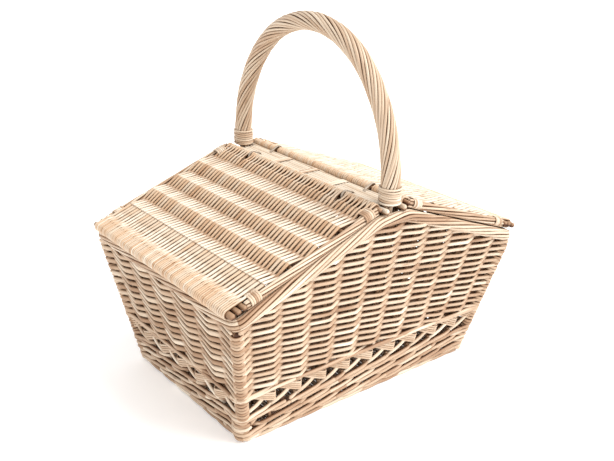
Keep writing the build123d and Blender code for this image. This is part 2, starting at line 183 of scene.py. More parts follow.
class Bundle:
    """Strands of willow gathered into one mesh."""

    def __init__(self, name, sides=8, groove_shade=0.4):
        self.name = name
        self.sides = sides
        # Painted shade on the sides of a rod, where it touches the rods beside it
        self.groove_shade = groove_shade
        self.points, self.quads, self.fans = [], [], []
        self.tints, self.hidden, self.grains = [], [], []
        self.count = 0

    def strand(self, line, width, depth=None, facing=UP, tint=None, swing=1.0, groove_shade_scale=1.0):
        """A rod along a line: half its width across, half its depth along the facing direction.

        swing is 1 where the facing side is the open one, and -1 where the other side is; the side turned
        away from the open one, and the sides that touch other rods, get painted shade.
        seam scales how dark the rod's sides are."""
        line = np.asarray(line, float)
        depth = width if depth is None else depth
        tint = rng.random() if tint is None else tint
        total = len(line)
        width, depth, tint, swing, groove_shade_scale = (
            np.broadcast_to(value, total) for value in (width, depth, tint, swing, groove_shade_scale)
        )
        tangent = unit(np.gradient(line, axis=0))
        across = unit(np.cross(tangent, np.broadcast_to(facing, (total, 3))))
        outward = np.cross(across, tangent)
        # Two more rings at each end round it off
        rows = np.concatenate([[0, 0], np.arange(total), [total - 1, total - 1]])
        taper = np.concatenate([TIP_WIDTHS, np.ones(total), TIP_WIDTHS[::-1]])
        push = np.concatenate([-TIP_REACHES, np.zeros(total), TIP_REACHES[::-1]])
        push = push * np.minimum(width, depth)[rows]
        sides = self.sides
        angle = np.arange(sides) * 2 * np.pi / sides
        side_part = np.cos(angle) * (width[rows] * taper)[:, None]
        out_part = np.sin(angle) * (depth[rows] * taper)[:, None]
        centre = line[rows] + tangent[rows] * push[:, None]
        ring = centre[:, None, :] + side_part[..., None] * across[rows][:, None, :]
        ring = ring + out_part[..., None] * outward[rows][:, None, :]
        step = np.linalg.norm(np.diff(centre, axis=0), axis=1)
        run = np.concatenate([[0.0], np.cumsum(step)]) + rng.random() * 50
        run = np.broadcast_to(run[:, None], side_part.shape)
        shift = rng.random(2) * 9
        grain = np.stack([run, side_part + shift[0], out_part + shift[1]], axis=-1)
        # Painted shade: the part of the ring turned away from the open side, and its sides where it
        # touches other rods, are marked to be darkened in the material.
        seen = swing[rows][:, None] * np.sin(angle)
        beside = np.abs(np.cos(angle)) > 0.9
        groove_shade = self.groove_shade * groove_shade_scale[rows][:, None] * beside * rng.uniform(0.4, 1.0)
        hidden = np.maximum(smoothstep((0.28 - seen) / 0.9), np.minimum(groove_shade, 1.0))
        i = np.arange(len(rows) - 1)[:, None] * sides
        j = np.arange(sides)[None, :]
        n = (j + 1) % sides
        quads = np.stack([i + j, i + n, i + sides + n, i + sides + j], axis=-1).reshape(-1, 4)
        last = (len(rows) - 1) * sides
        self.quads.append(quads + self.count)
        self.fans.append(np.arange(sides)[::-1] + self.count)
        self.fans.append(last + np.arange(sides) + self.count)
        self.points.append(ring.reshape(-1, 3))
        self.grains.append(grain.reshape(-1, 3))
        self.hidden.append(hidden.ravel())
        self.tints.append(np.repeat(tint[rows], sides))
        self.count += ring.shape[0] * sides

    def build(self, material, body, slot, node):
        """Make the mesh, and let it ride a body in place of one of the frame's nodes."""
        points = np.concatenate(self.points).astype(np.float32)
        quads = np.concatenate(self.quads)
        fans = np.array(self.fans)
        mesh = bpy.data.meshes.new(self.name)
        mesh.vertices.add(len(points))
        mesh.vertices.foreach_set("co", points.ravel())
        loops = np.concatenate([quads.ravel(), fans.ravel()]).astype(np.int32)
        mesh.loops.add(len(loops))
        mesh.loops.foreach_set("vertex_index", loops)
        quad_starts = np.arange(len(quads)) * 4
        fan_starts = len(quads) * 4 + np.arange(len(fans)) * self.sides
        starts = np.concatenate([quad_starts, fan_starts]).astype(np.int32)
        mesh.polygons.add(len(starts))
        mesh.polygons.foreach_set("loop_start", starts)
        mesh.polygons.foreach_set("use_smooth", np.ones(len(starts), bool))
        for name, kind, field, values in (
            ("tint", "FLOAT", "value", self.tints),
            ("hidden", "FLOAT", "value", self.hidden),
            ("grain", "FLOAT_VECTOR", "vector", self.grains),
        ):
            attribute = mesh.attributes.new(name, kind, "POINT")
            attribute.data.foreach_set(field, np.concatenate(values).astype(np.float32).ravel())
        mesh.update(calc_edges=True)
        mesh.validate()
        mesh.materials.append(material)
        piece = add_object(self.name, mesh)
        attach(piece, body)
        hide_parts(node)


def wander(count, size, reach=9):
    """Slow, smooth, random unevenness along a rod."""
    knots = rng.normal(0.0, size, max(2, count // reach + 3))
    t = np.linspace(0, len(knots) - 1.001, count)
    i = t.astype(int)
    f = smoothstep(t - i)
    return knots[i] * (1 - f) + knots[i + 1] * f


def curve_through(points, per_span=8):
    """A smooth line through a few points."""
    p = np.asarray(points, float)
    p = np.concatenate([[2 * p[0] - p[1]], p, [2 * p[-1] - p[-2]]])
    out = []
    for a, b, c, d in zip(p, p[1:], p[2:], p[3:]):
        t = np.linspace(0, 1, per_span, endpoint=False)[:, None]
        out.append(
            0.5 * (2 * b + (c - a) * t + (2 * a - 5 * b + 4 * c - d) * t**2
                   + (3 * b - a - 3 * c + d) * t**3)
        )
    return np.concatenate(out + [p[-2:-1]])


# ---- materials
BROWN = (0.20, 0.11, 0.055)
TAN = (0.32, 0.195, 0.115)
GOLD = (0.44, 0.27, 0.155)
HONEY = (0.56, 0.395, 0.26)
PEACH = (0.44, 0.31, 0.208)
CREAM = (0.56, 0.45, 0.338)
PALE = (0.69, 0.60, 0.49)
CANE_DARK = (0.2, 0.155, 0.12)
CANE_MID = (0.34, 0.28, 0.22)
CANE_PALE = (0.48, 0.41, 0.33)

# What a rod's colour is multiplied by at a knot, and the painted shade where other rods hide it from the
# light
KNOT = (0.55, 0.38, 0.24)
LIT = (1.0, 1.0, 1.0)
HALF_PAINTED_SHADE = (0.54, 0.41, 0.32)
DEEP_PAINTED_SHADE = (0.21, 0.115, 0.065)


def willow(name, ramp, roughness):
    """Peeled willow: a colour for each rod, long grain streaks, blotches and small knots."""
    material = bpy.data.materials.new(name)
    material.use_nodes = True
    tree = material.node_tree
    link = tree.links.new
    shader = tree.nodes["Principled BSDF"]

    def node(kind, **values):
        made = tree.nodes.new(kind)
        for key, value in values.items():
            setattr(made, key, value)
        return made

    def fill(made, values):
        """Set or link a node's inputs, by name or number."""
        for socket, value in values.items():
            if isinstance(value, bpy.types.NodeSocket):
                link(value, made.inputs[socket])
            else:
                made.inputs[socket].default_value = value
        return made

    def math_node(operation, first, second):
        return fill(node("ShaderNodeMath", operation=operation), {0: first, 1: second}).outputs[0]

    def multiply_colour(share, first, second):
        made = node("ShaderNodeMix", data_type="RGBA", blend_type="MULTIPLY")
        return fill(made, {0: share, 6: first, 7: second}).outputs[2]

    def remap(value, low, high, to_low, to_high):
        ends = {"From Min": low, "From Max": high, "To Min": to_low, "To Max": to_high}
        return fill(node("ShaderNodeMapRange"), {"Value": value, **ends}).outputs["Result"]

    def colour_ramp(value, stops, interpolation):
        made = node("ShaderNodeValToRGB")
        made.color_ramp.interpolation = interpolation
        elements = made.color_ramp.elements
        while len(elements) < len(stops):
            elements.new(0.5)
        for element, (position, colour) in zip(elements, stops):
            element.position = position
            element.color = (*colour, 1.0)
        return fill(made, {"Fac": value}).outputs["Color"]

    def along_grain(scale):
        mapping = node("ShaderNodeMapping")
        return fill(mapping, {"Vector": grain, "Scale": scale}).outputs["Vector"]

    def noise(scale, detail):
        made = node("ShaderNodeTexNoise")
        return fill(made, {"Vector": along_grain(scale), "Scale": 1.0, "Detail": detail}).outputs["Fac"]

    def uneven(value, pattern, amount):
        return math_node("ADD", value, math_node("MULTIPLY", math_node("SUBTRACT", pattern, 0.5), amount))

    tint = node("ShaderNodeAttribute", attribute_name="tint").outputs["Fac"]
    grain = node("ShaderNodeAttribute", attribute_name="grain").outputs["Vector"]
    hidden = node("ShaderNodeAttribute", attribute_name="hidden").outputs["Fac"]
    blotches = noise((14, 90, 90), 2.0)
    streaks = noise((35, 1400, 1400), 3.0)
    fibres = noise((90, 3200, 3200), 2.0)
    shade = uneven(uneven(tint, blotches, 0.9), streaks, 0.35)
    colour = colour_ramp(shade, ramp, "EASE")
    knots = node("ShaderNodeTexVoronoi", feature="F1")
    fill(knots, {"Vector": along_grain((22, 160, 160)), "Scale": 1.0})
    spots = remap(knots.outputs["Distance"], 0.05, 0.14, 0.75, 0.0)
    colour = multiply_colour(spots, colour, (*KNOT, 1.0))
    # Painted shade: the colour is darkened towards deep brown where other rods would keep the light off.
    painted_shade_colour = colour_ramp(hidden, [(0.0, LIT), (0.5, HALF_PAINTED_SHADE), (1.0, DEEP_PAINTED_SHADE)], "LINEAR")
    bump = node("ShaderNodeBump")
    height = math_node("ADD", streaks, math_node("MULTIPLY", fibres, 0.5))
    fill(bump, {"Strength": 0.45, "Distance": 0.00022, "Height": height})
    fill(shader, {
        "Base Color": multiply_colour(1.0, colour, painted_shade_colour),
        "Roughness": remap(streaks, 0.0, 1.0, roughness - 0.1, roughness + 0.14),
        "Specular IOR Level": 0.42,
        "Normal": bump.outputs["Normal"],
    })
    return material


WALL_WILLOW = willow("wall_willow", [(0.0, TAN), (0.3, PEACH), (0.65, CREAM), (1.0, PALE)], 0.5)
LID_WILLOW = willow("lid_willow", [(0.0, GOLD), (0.35, HONEY), (0.7, CREAM), (1.0, PALE)], 0.46)
BORDER_WILLOW = willow("border_willow", [(0.0, TAN), (0.25, PEACH), (0.7, CREAM), (1.0, PALE)], 0.48)
HANDLE_WILLOW = willow("handle_willow", [(0.0, TAN), (0.35, PEACH), (0.7, CREAM), (1.0, PALE)], 0.42)
CORE_WILLOW = willow("core_willow", [(0.0, BROWN), (0.5, TAN), (1.0, PEACH)], 0.6)
CANE = willow("dark_cane", [(0.0, CANE_DARK), (0.5, CANE_MID), (1.0, CANE_PALE)], 0.5)


# ---- weaving patterns
def over_under(k):
    """Plain weave: slowly out over even stakes, more quickly in behind odd ones."""
    sharp = 0.985
    inward = 0.33
    past_stake = 0.06
    lap = np.mod((k - past_stake) / 2, 1.0)
    turn = np.where(lap < inward, lap / inward, 1 + (lap - inward) / (1 - inward))
    return np.arcsin(sharp * np.cos(np.pi * turn)) / math.asin(sharp)


def waled(k, rod, rods, step):
    """Waling: each rod goes out over all stakes but one, rising, then in behind the last."""
    share = (rods - 1) / rods
    phase = np.mod((k / step - rod) / rods, 1.0)
    out = np.tanh(2.4 * (np.cos(2 * np.pi * (phase - share / 2)) - math.cos(math.pi * share)))
    back = 0.5 - smoothstep((phase - share) / (1 - share))
    return out, np.where(phase < share, phase / share - 0.5, back)


def weave_siding(wall):
    """Rows of plain weave from the wale line up to the border, each of one or two rods."""
    bundle = Bundle(f"{wall.name}_siding_weave")
    under_border = 5 * MM
    top = RIM_MID if wall.long else RIM_END
    rows = int((top - under_border - LINE_TOP) / ROW_PITCH)
    for row in range(rows):
        z = LINE_TOP + (row + 0.5) * ROW_PITCH
        limit = 1.0
        if wall.long and z > RIM_END - under_border:
            reach = LEVEL_X + (RIM_MID - under_border - z) / RIM_SLOPE
            limit = min(1.0, reach / post_x(z))
        joint = rng.integers(0, wall.spans)
        place = wall.place(2 * (joint // 2) + row % 2 + 1)
        cuts = [-limit, place, limit] if abs(place) < limit * 0.8 else [-limit, limit]
        for low, high in zip(cuts, cuts[1:]):
            weave_row(bundle, wall, row, z, low, high)
    bundle.build(WALL_WILLOW, "basket", "willow", f"{wall.name}_siding")


def weave_row(bundle, wall, row, z, low, high):
    """One rod of a row, wider where it lies inside the wall and where it turns in."""
    count = max(6, int((high - low) / 2 * wall.spans * 18))
    s = np.linspace(low, high, count)
    k = (s * wall.hand + 1) / 2 * wall.spans
    swing = over_under(k + row)
    out = WEAVE_SWING * swing + wander(count, 0.12 * MM)
    height = z + wander(count, 0.22 * MM) + rng.normal(0, 0.1 * MM)
    line, normal = wall.at(s, height, out)
    stout = rng.uniform(0.93, 1.07) * WEAVER
    behind = smoothstep(-1.5 * swing)
    steep = smoothstep(-np.gradient(swing, k) / 2.5)
    width = stout * (0.97 + 0.76 * behind + 0.42 * steep) * (1 + wander(count, 0.03))
    tint = np.clip(rng.normal(0.52, 0.16) - 0.22 * steep + wander(count, 0.08, 24), 0.0, 0.82)
    bundle.strand(line, width, stout * 0.93, normal, tint=tint, swing=swing)


def stake_line(wall, k, low, high, count=10):
    z = np.linspace(low, high, count)
    return wall.at(np.full(count, wall.place(k)), z, wander(count, 0.1 * MM))


def set_stakes(wall):
    """Upright stakes, below and above the open band."""
    bundle = Bundle(f"{wall.name}_stakes")
    for k in range(1, wall.spans):
        x = wall.place(k) * RIM_X if wall.long else RIM_X
        # A swing of 0 gives each stake an even painted shade all round, as stakes stand back in the
        # weave.
        line, normal = stake_line(wall, k, FOOT_TOP, WALE_TOP + 1 * MM)
        bundle.strand(line, STAKE, STAKE, normal, swing=0.0)
        line, normal = stake_line(wall, k, OPEN_TOP, float(rim_z(x)) - 4 * MM, 24)
        aside = unit(np.cross(normal, np.gradient(line, axis=0))) * STAKE * 0.95
        for shift in (-aside, aside):
            bundle.strand(line + shift, STAKE, STAKE, normal, swing=0.0)
    bundle.build(CORE_WILLOW, "basket", "core_willow", f"{wall.name}_stakes")


# Where the slanting rods and the ribbon run through one span of the open band: how far past a
# stake in spans, how high above the top of the wale, and how far out from the wall's middle.
LEANING = [
    (-1.06, -6, -1.0), (-0.94, -1, 1.6), (-0.80, 3, 3.2), (-0.55, 6.5, 2.8), (-0.28, 10.5, 1.3),
    (-0.02, 14.5, 0.7), (0.11, 18, 2.0), (0.18, 23, 2.8), (0.24, 28, 0.5),
]
UPRIGHT = [(0.05, -5, -3.0), (0.0, 5, -3.8), (-0.06, 15, -3.8), (-0.1, 27, -3.0)]
RIBBON = [
    (-0.69, 20.8, -1.6), (-0.50, 18.3, 0.6), (-0.25, 15.0, 2.6), (-0.05, 12.4, 3.9), (0.06, 11.3, 4.6),
    (0.13, 11.0, 4.2), (0.17, 11.8, 2.0), (0.17, 14.0, -1.2), (0.20, 17.4, -3.2), (0.26, 20.4, -3.0),
]


def band_line(wall, places, jitter=0.0):
    """A line through places given as stakes passed, height above the wale and outward offset."""
    points = curve_through(places, 5)
    s = np.clip(2 * (points[:, 0] + jitter) / wall.spans - 1, -1.0, 1.0)
    return wall.at(s, WALE_TOP + points[:, 1] * MM, points[:, 2] * MM)


def cross_rods(wall):
    """Rods that lean over from each stake to the next, and the upright ones behind them."""
    bundle = Bundle(f"{wall.name}_crossed_rods")
    for k in range(1, wall.spans + 1):
        jitter = rng.normal(0, 0.02)
        pair = rng.random() < 0.5
        for shift in (-0.5, 0.5) if pair else (0.0,):
            places = [(k + a + 0.042 * shift, b - 1.5 * shift, c) for a, b, c in LEANING]
            line, normal = band_line(wall, places, jitter)
            stout = (LEANING_PAIR_ROD if pair else LEANING_ROD) * rng.uniform(0.94, 1.08)
            bundle.strand(line, stout, stout, normal, tint=rng.uniform(0.5, 0.9))
    for k in range(1, wall.spans):
        line, normal = band_line(wall, [(k + a, b, c) for a, b, c in UPRIGHT])
        # A swing of -0.2 gives the upright rods painted shade on their outer side, as they stand behind
        # the leaning rods.
        bundle.strand(line, UPRIGHT_ROD, None, normal, tint=rng.uniform(0.0, 0.4), swing=-0.2)
    bundle.build(BORDER_WILLOW, "basket", "willow", f"{wall.name}_crossed_rods")


def lay_ribbon(wall):
    """Four thin rods side by side, over each leaning rod and sharply in behind the next."""
    bundle = Bundle(f"{wall.name}_ribbon", groove_shade=0.8)
    rods = 4
    sunk = 0.0 if wall.long else 3.0
    for rod in range(rods):
        lift = (rod - (rods - 1) / 2) * 2 * RIBBON_ROD / MM - sunk
        places = [(k + a, b + lift, c) for k in range(wall.spans + 1) for a, b, c in RIBBON]
        places = [place for place in places if 0.0 <= place[0] <= wall.spans]
        line, normal = band_line(wall, places)
        width = RIBBON_ROD * rng.uniform(0.92, 1.04) * (1 + wander(len(line), 0.03))
        tint = rng.uniform(0.0, 0.45)
        bundle.strand(line, width, RIBBON_ROD * 0.8, ribbon_facing(line, normal), tint=tint)
    bundle.build(WALL_WILLOW, "basket", "willow", f"{wall.name}_ribbon")


def ribbon_facing(line, normal):
    """The flat side of a ribbon that bends in and out: square to its run and to the upright."""
    tangent = unit(np.gradient(line, axis=0))
    flat = tangent - tangent[:, 2:3] * UP
    facing = np.cross(flat, UP)
    facing = facing * np.sign((facing * normal).sum(1, keepdims=True) + 1e-9)
    blend = 0.5 * unit(facing) + 0.5 * normal
    return unit(blend)


def round_corners(loop, share, reach):
    """How near to a corner of the loop a share of the way round it is, from 0 to 1."""
    turn = np.abs(np.diff(loop.tangent, axis=0, append=loop.tangent[:1])).sum(1)
    corners = []
    for _ in range(4):
        peak = int(np.argmax(np.convolve(turn, np.ones(9), "same")))
        corners.append(peak / len(loop.path))
        keep = np.abs((np.arange(len(turn)) - peak + len(turn) / 2) % len(turn) - len(turn) / 2)
        turn = np.where(keep < 60, 0.0, turn)
    near = np.zeros(len(share))
    for corner in corners:
        away = np.abs((share - corner + 0.5) % 1.0 - 0.5) * loop.length
        near = np.maximum(near, np.exp(-((away / reach) ** 2)))
    return near


def weave_wales():
    """Rows of three-rod wale round the lower part, and the line of rods above the open band."""
    spans = sum(SPANS.values())
    pitch = (WALE_TOP - FOOT_TOP) / WALE_ROWS
    bundles = {name: Bundle(f"{name}_lower_wale", groove_shade=0.7) for name in WALLS}
    for row in range(WALE_ROWS):
        loop = Loop(wall_corners(FOOT_TOP + (row + 0.5) * pitch), 6 * MM, 0.2)
        offset = rng.uniform(0, 3)
        for rod in range(3):
            wale_rod(bundles, loop, rod, spans, offset, pitch * 0.92, WALE_SWING, WALE_ROD)
    for name, bundle in bundles.items():
        bundle.build(WALL_WILLOW, "basket", "willow", f"{name}_lower_siding")

    line = Bundle("wale_line_rods", groove_shade=0.7)
    loop = Loop(wall_corners((OPEN_TOP + LINE_TOP) / 2), 6 * MM, 0.2)
    for rod in range(3):
        wale_rod(dict.fromkeys(WALLS, line), loop, rod, spans / 2.6, 1.2, LINE_RISE, LINE_SWING, LINE_ROD)
    line.build(BORDER_WILLOW, "basket", "border_willow", "wale_line")


def wale_rod(bundles, loop, rod, steps, offset, lift, reach, stout):
    """One rod of a wale round a closed loop, as lengths shared out between the walls."""
    lengths = 16
    cuts = np.linspace(0, 1, lengths + 1) + rng.random() / lengths
    for low, high in zip(cuts, cuts[1:]):
        count = int((high - low) * loop.length / (2.4 * MM))
        share = np.linspace(low, high, count)
        out, rise = waled(share * steps + offset, rod, 3, 1.0)
        near = round_corners(loop, share, 10 * MM)
        away = reach * out * (1 - near) + 6.2 * MM * near + wander(count, 0.12 * MM)
        line, facing = loop.at(share, lift * rise + wander(count, 0.25 * MM), away)
        width = stout * rng.uniform(0.92, 1.06) * (1 + wander(count, 0.05))
        bundle = bundles[nearest_wall(line[count // 2])]
        tint = rng.normal(0.36, 0.2) + wander(count, 0.1, 24)
        bundle.strand(line, width, width * 0.94, facing, tint=tint, swing=np.clip(out + near, -1, 1))


# ---- closed loops round the basket
class Loop:
    """A closed, rounded path round the basket, with an outward and an upward direction."""

    def __init__(self, corners, rounding, tilt):
        spacing = 1 * MM
        line = []
        for a, b in zip(corners, np.roll(corners, -1, axis=0)):
            steps = max(1, int(np.linalg.norm(b - a) / spacing))
            t = np.linspace(0, 1, steps, endpoint=False)[:, None]
            line.append(a + (b - a) * t)
        raw = np.concatenate(line)
        window = np.hanning(int(rounding / spacing) * 2 + 1)
        window /= window.sum()
        half = len(window) // 2
        padded = np.concatenate([raw[-half:], raw, raw[:half]])
        path = np.column_stack([np.convolve(padded[:, i], window, "valid") for i in range(3)])
        closed = np.concatenate([path[-1:], path, path[:1]])
        self.path = path
        self.tangent = unit(closed[2:] - closed[:-2])
        outward = stacked(self.tangent[:, 1], -self.tangent[:, 0], 0)
        rise = UP + tilt * unit(outward)
        rise = rise - (rise * self.tangent).sum(1, keepdims=True) * self.tangent
        self.rise = unit(rise)
        self.out = unit(np.cross(self.tangent, self.rise))
        self.length = np.linalg.norm(closed[2:] - closed[1:-1], axis=1).sum()

    def at(self, share, rise, out):
        """Points at shares of the way round, lifted and pushed outwards."""
        position = np.mod(share, 1.0) * len(self.path)
        i = position.astype(int) % len(self.path)
        n = (i + 1) % len(self.path)
        f = (position - np.floor(position))[:, None]
        fields = (self.path, self.rise, self.out)
        base, lift, away = (field[i] * (1 - f) + field[n] * f for field in fields)
        return base + lift * rise[:, None] + away * out[:, None], away


def rim_corners(half_x, half_y, drop):
    """The rim's outline: level over the middle of each long side, sloping to the short sides."""
    x = np.array([-half_x, -LEVEL_X, LEVEL_X, half_x])
    front = stacked(x, -half_y, rim_z(x) - drop)
    back = front[::-1] * np.array([1, -1, 1])
    return np.concatenate([front, back])


def wall_corners(height):
    """The outline of the walls' middle surface at one height."""
    s = np.linspace(-1, 1, 21)
    ways = {"front": 1, "right": 1, "back": -1, "left": -1}
    return np.concatenate([WALLS[name].middle(s[::way], height) for name, way in ways.items()])


def nearest_wall(point):
    """The wall that a point on the rim lies on."""
    if abs(point[0]) / RIM_X > abs(point[1]) / RIM_Y:
        return "left" if point[0] < 0 else "right"
    return "front" if point[1] < 0 else "back"


def wall_share(loop, name):
    """Where one wall's share of a loop starts and stops."""
    along = [nearest_wall(point) == name for point in loop.path]
    start = next(i for i in range(len(along)) if along[i] and not along[i - 1])
    return start / len(along), (start + sum(along)) / len(along)


def lay_borders():
    """The rim border: a bundle of long rods that slowly turn round one another."""
    half_x = RIM_X + BORDER_OUTSET - BORDER_THICKNESS / 2
    half_y = RIM_Y + BORDER_OUTSET - BORDER_THICKNESS / 2
    centre_drop = BORDER_HEIGHT / 2 - RIM_UNDER_TOP
    loop = Loop(rim_corners(half_x, half_y, centre_drop), 13 * MM, 0.2)
    rods = 9
    turns = round(loop.length / (300 * MM))
    for name in WALLS:
        low, high = wall_share(loop, name)
        count = int((high - low) * loop.length / (2.5 * MM))
        share = np.linspace(low, high, count)
        bundle = Bundle(f"{name}_border_rods", groove_shade=0.95)
        for rod in range(rods):
            angle = 2 * np.pi * (rod / rods + share * turns)
            out = 4.5 * MM * np.cos(angle) + wander(count, 0.15 * MM)
            rise = 5.2 * MM * np.sin(angle) + wander(count, 0.2 * MM)
            line, away = loop.at(share, rise, out)
            facing = unit(turned(angle, away, UP))
            stout = 1.76 * MM * rng.uniform(0.94, 1.04) * (1 + wander(count, 0.03))
            tint = rng.uniform(0.0, 0.68) + wander(count, 0.12, 16)
            bundle.strand(line, stout, None, facing, tint=tint)
        bundle.build(BORDER_WILLOW, "basket", "border_willow", f"{name}_border")


def lay_foot():
    """Four rods twisted flat round the bottom edge."""
    centre = FOOT_TOP / 2 + 0.2 * MM
    loop = Loop(wall_corners(centre), 9 * MM, 0.0)
    bundle = Bundle("foot_border_rods")
    count = int(loop.length / (2.5 * MM))
    share = np.linspace(0, 1.004, count)
    for rod in range(4):
        phase = 2 * np.pi * (share * 9 + rod / 4)
        out = 3.4 * MM * np.cos(phase)
        rise = 0.65 * MM * np.sin(phase)
        line, away = loop.at(share, rise, out)
        stout = 2.2 * MM * (1 + wander(count, 0.03, 20))
        facing = unit(away + 0.8 * UP)
        bundle.strand(line, stout, stout, facing, swing=0.5 + 0.5 * np.cos(phase))
    bundle.build(WALL_WILLOW, "basket", "border_willow", "foot_border")


# ---- corners
def corner_post(side_x, side_y, z):
    return stacked(side_x * post_x(z), side_y * post_y(z), z)


def wrap_corner(name, side_x, side_y):
    """Flat turns of willow stacked round a corner post."""
    bundle = Bundle(f"{name}_corner_turns", sides=10, groove_shade=0.95)
    low, high = corner_post(side_x, side_y, np.array([FOOT_TOP, SIDING_END_TOP]))
    length = np.linalg.norm(high - low)
    axis = (high - low) / length
    diagonal = np.array([side_x, side_y, 0.0])
    ahead = unit(diagonal - diagonal @ axis * axis)
    sideways = np.cross(axis, ahead)
    turns = int(length / (4.35 * MM))
    reach = 2.5
    angle = np.linspace(-reach, reach, 26)
    for turn in range(turns):
        height = (turn + 0.5) * length / turns + rng.normal(0, 0.2 * MM)
        deep = 1.75 * MM * rng.uniform(0.9, 1.08)
        covered = 1.6 * MM * (1 - smoothstep((height - 22 * MM) / (12 * MM)))
        radius = POST_RADIUS - deep - covered + rng.normal(0, 0.18 * MM)
        slant = rng.normal(0, 0.2) * MM
        around = turned(angle, ahead, sideways)
        rise = height + slant * angle + 0.8 * MM * (np.abs(angle) / reach) ** 2
        line = low + rise[:, None] * axis + radius * around
        # The low tint is painted shade: it darkens the turns round the corner post.
        bundle.strand(line, 2.05 * MM * rng.uniform(0.88, 1.0), deep, around, tint=rng.normal(0.14, 0.14))
    bundle.build(WALL_WILLOW, "basket", "border_willow", f"{name}_corner_wrap")


def set_corner_stakes():
    """A stout stake inside each corner post."""
    bundle = Bundle("corner_stake_rods", sides=12)
    for side_x in (-1, 1):
        for side_y in (-1, 1):
            line = corner_post(side_x, side_y, np.linspace(FOOT_TOP, SIDING_END_TOP, 12))
            bundle.strand(line, 4 * MM, 4 * MM, ALONG_Y)
    bundle.build(CORE_WILLOW, "basket", "core_willow", "corner_stakes")


# ---- base
def weave_base():
    """A woven mat: sticks along the basket, weavers across them."""
    half_x, half_y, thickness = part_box("base_panel")[1]
    stick_low, stick_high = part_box("base_sticks")
    sticks = 7
    rows = np.linspace(stick_low.y + STAKE, stick_high.y - STAKE, sticks)
    middle = thickness / 2
    bundle = Bundle("base_stick_rods")
    for y in rows:
        x = np.linspace(stick_low.x, stick_high.x, 30)
        line = stacked(x, y + wander(30, 0.3 * MM), middle)
        bundle.strand(line, STAKE, STAKE * 0.9, UP)
    bundle.build(CORE_WILLOW, "basket", "core_willow", "base_sticks")

    bundle = Bundle("base_weave")
    columns = round(2 * half_x / ROW_PITCH)
    count = 76
    stick_pitch = rows[1] - rows[0]
    for column in range(columns):
        x = (column - (columns - 1) / 2) * ROW_PITCH
        y = np.linspace(-half_y + 2 * MM, half_y - 2 * MM, count)
        swing = over_under((y - rows[0]) / stick_pitch + column)
        line = stacked(x + wander(count, 0.2 * MM), y, middle + 2.0 * MM * swing)
        bundle.strand(line, WEAVER * (0.86 + 0.14 * swing**2), WEAVER * 0.92, UP, swing=swing)
    bundle.build(WALL_WILLOW, "basket", "willow", "base_panel")


# ---- handle
handle_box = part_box("handle_strands")
HANDLE_RADIUS = handle_box[1].x
LEG_Y = handle_box[1].y - HANDLE_RADIUS
ARCH_TOP = handle_box[1].z - HANDLE_RADIUS
ARCH_FOOT = handle_box[0].z
ARCH_SPRING = 260 * MM
ARCH_TOP_RADIUS = 122 * MM


def arch_line(spacing=3 * MM):
    """The handle's centreline: a straight foot, a side arc and half the top arc, then mirrored."""
    rise = ARCH_TOP - ARCH_SPRING
    top = ARCH_TOP_RADIUS
    side = ((rise - top) ** 2 + LEG_Y**2 - top**2) / (2 * (LEG_Y - top))
    side_centre = np.array([LEG_Y - side, ARCH_SPRING])
    top_centre = np.array([0.0, ARCH_TOP - top])
    turn = math.atan2(*(top_centre - side_centre)[::-1])
    foot = np.linspace(ARCH_FOOT, ARCH_SPRING, max(3, int((ARCH_SPRING - ARCH_FOOT) / spacing)))
    foot = stacked(LEG_Y, foot)
    angles = np.linspace(0, turn, int(side * turn / spacing))[1:]
    arc = side_centre + side * stacked(np.cos(angles), np.sin(angles))
    angles = np.linspace(turn, math.pi / 2, int(top * (math.pi / 2 - turn) / spacing))[1:]
    crown = top_centre + top * stacked(np.cos(angles), np.sin(angles))
    half = np.concatenate([foot, arc, crown])
    mirrored = half[:-1][::-1] * np.array([-1, 1])
    plan = np.concatenate([half, mirrored])
    return np.column_stack([np.zeros(len(plan)), plan])


def make_handle():
    """Strands twisted round a core that follows the arch."""
    line = arch_line()
    tangent = unit(np.gradient(line, axis=0))
    outward = unit(np.cross(ALONG_X, tangent))
    run = np.concatenate([[0], np.cumsum(np.linalg.norm(np.diff(line, axis=0), axis=1))])
    strands = 17
    thick = 1.57 * MM
    lay = 190 * MM
    ring = HANDLE_RADIUS - thick
    bundle = Bundle("handle_twisted_strands", sides=10, groove_shade=0.85)
    for strand in range(strands):
        angle = 2 * np.pi * (strand / strands - run / lay) + wander(len(run), 0.03)
        away = turned(angle, ALONG_X, outward)
        reach = ring + wander(len(run), 0.15 * MM)
        stout = thick * rng.uniform(0.9, 1.1) * (1 + wander(len(run), 0.05, 14))
        bundle.strand(line + reach[:, None] * away, stout, stout, away, tint=rng.normal(0.47, 0.16))
    bundle.build(HANDLE_WILLOW, "basket", "handle_willow", "handle_strands")

    core = Bundle("handle_core_rod", sides=12)
    core.strand(line, ring - 0.6 * thick, None, ALONG_X)
    core.build(CORE_WILLOW, "basket", "core_willow", "handle_core")


def make_handle_legs():
    """The handle's rods go down through the border and lie along the inside of the wall."""
    low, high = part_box("handle_legs")
    radius = high.x
    bundle = Bundle("handle_leg_rods", sides=10)
    rods = 5
    count = 40
    t = np.linspace(0, 1, count)
    for side in (-1, 1):
        top_y = high.y - radius
        foot_y = BASE_Y + (RIM_Y - BASE_Y) * low.z / RIM_MID - WALL - 6.3 * MM
        y = side * (foot_y + (top_y - foot_y) * t)
        z = low.z + (high.z - low.z) * t
        middle = stacked(0, y, z)
        for rod in range(rods):
            angle = 2 * np.pi * rod / rods + 2.2 * t
            reach = (radius - 2.3 * MM) * (0.45 + 0.55 * smoothstep(t * 2.5))
            away = turned(angle, ALONG_X, ALONG_Y)
            start = rng.uniform(0, 0.16)
            keep = t >= start
            taper = 0.55 + 0.45 * smoothstep((t - start) * 4)
            line = middle + away * reach[:, None]
            bundle.strand(line[keep], (2.4 * MM * taper)[keep], None, away[keep])
    bundle.build(HANDLE_WILLOW, "basket", "core_willow", "handle_legs")


